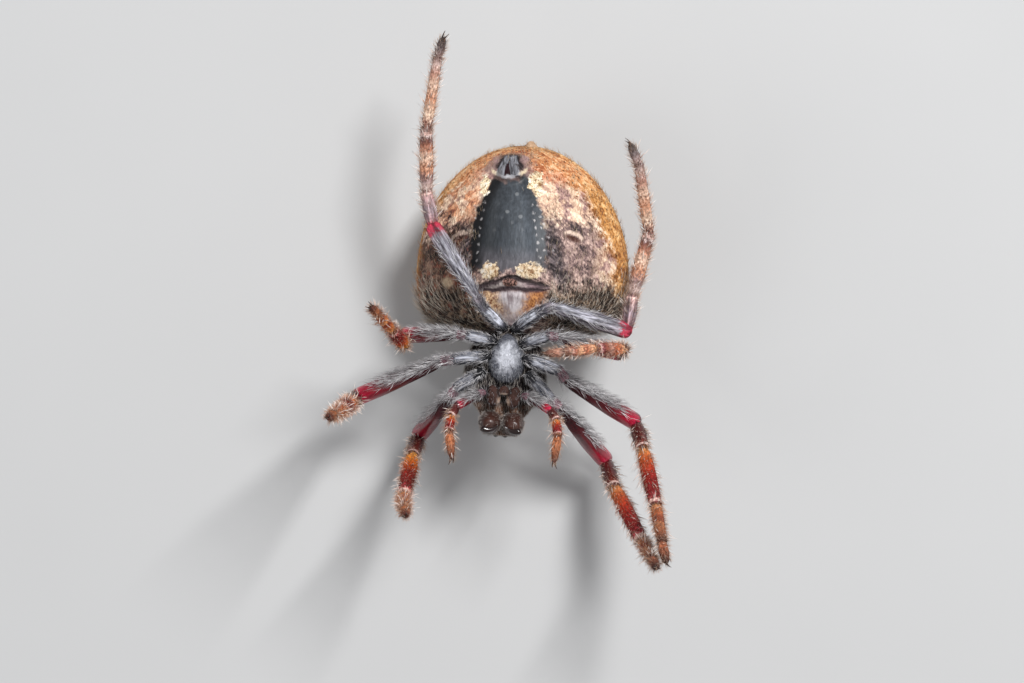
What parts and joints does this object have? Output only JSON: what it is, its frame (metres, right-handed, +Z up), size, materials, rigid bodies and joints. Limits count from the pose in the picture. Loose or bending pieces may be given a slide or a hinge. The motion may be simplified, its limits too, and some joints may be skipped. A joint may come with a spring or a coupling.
{
  "type": "orb weaver spider",
  "caption": "Adult female orb weaver spider lying on its back, a still life-size figure with a mottled round abdomen and bristly red and orange legs drawn up over it.",
  "frame": {"origin": "on the floor under the middle of the whole spider, at the level of the flat that the back of the abdomen rests on", "axes": "+Z up, the way the underside faces; +Y towards the tail; -Y towards the head; -X is the spider's own left side"},
  "size_m": [0.0144, 0.0226, 0.0136],
  "materials": {
    "abdomen_skin": "soft matt skin mottled golden brown, cream and slate black under fine pale hairs",
    "spinneret_skin": "dark brown skin, satin",
    "forebody_skin": "dark grey brown hard skin under whitish grey hairs",
    "chelicera": "dark red brown horny skin, glossy",
    "fang": "black horn with a dark red tip, glossy",
    "eye": "black and mirror smooth",
    "leg_grey": "grey skin under a dense fringe of pale hairs",
    "leg_red": "glossy dark crimson skin",
    "leg_orange": "orange brown skin with dark red rings, satin"
  },
  "bodies": {
    "root": {"abdomen": "abdomen_skin", "spinnerets": "spinneret_skin", "cephalothorax": "forebody_skin", "mouthparts": "forebody_skin", "eye_front_median_left": "eye", "eye_front_median_right": "eye", "eye_rear_median_left": "eye", "eye_rear_median_right": "eye", "eye_front_lateral_left": "eye", "eye_front_lateral_right": "eye", "eye_rear_lateral_left": "eye", "eye_rear_lateral_right": "eye", "chelicera_left": "chelicera", "fang_left": "fang", "pedipalp_left": "leg_orange", "chelicera_right": "chelicera", "fang_right": "fang", "pedipalp_right": "leg_orange", "leg1_left_coxa": "leg_grey", "leg1_left_femur": "leg_red", "leg1_left_patella": "leg_red", "leg1_left_tibia": "leg_orange", "leg1_left_tarsus": "leg_orange", "leg1_right_coxa": "leg_grey", "leg1_right_femur": "leg_red", "leg1_right_patella": "leg_red", "leg1_right_tibia": "leg_orange", "leg1_right_tarsus": "leg_orange", "leg2_left_coxa": "leg_grey", "leg2_left_femur": "leg_red", "leg2_left_patella": "leg_red", "leg2_left_tibia": "leg_orange", "leg2_left_tarsus": "leg_orange", "leg2_right_coxa": "leg_grey", "leg2_right_femur": "leg_red", "leg2_right_patella": "leg_red", "leg2_right_tibia": "leg_orange", "leg2_right_tarsus": "leg_orange", "leg3_left_coxa": "leg_grey", "leg3_left_femur": "leg_red", "leg3_left_patella": "leg_red", "leg3_left_tibia": "leg_orange", "leg3_left_tarsus": "leg_orange", "leg3_right_coxa": "leg_grey", "leg3_right_femur": "leg_red", "leg3_right_patella": "leg_red", "leg3_right_tibia": "leg_orange", "leg3_right_tarsus": "leg_orange", "leg4_left_coxa": "leg_grey", "leg4_left_femur": "leg_red", "leg4_left_patella": "leg_red", "leg4_left_tibia": "leg_orange", "leg4_left_tarsus": "leg_orange", "leg4_right_coxa": "leg_grey", "leg4_right_femur": "leg_red", "leg4_right_patella": "leg_red", "leg4_right_tibia": "leg_orange", "leg4_right_tarsus": "leg_orange"}
  },
  "joints": []
}
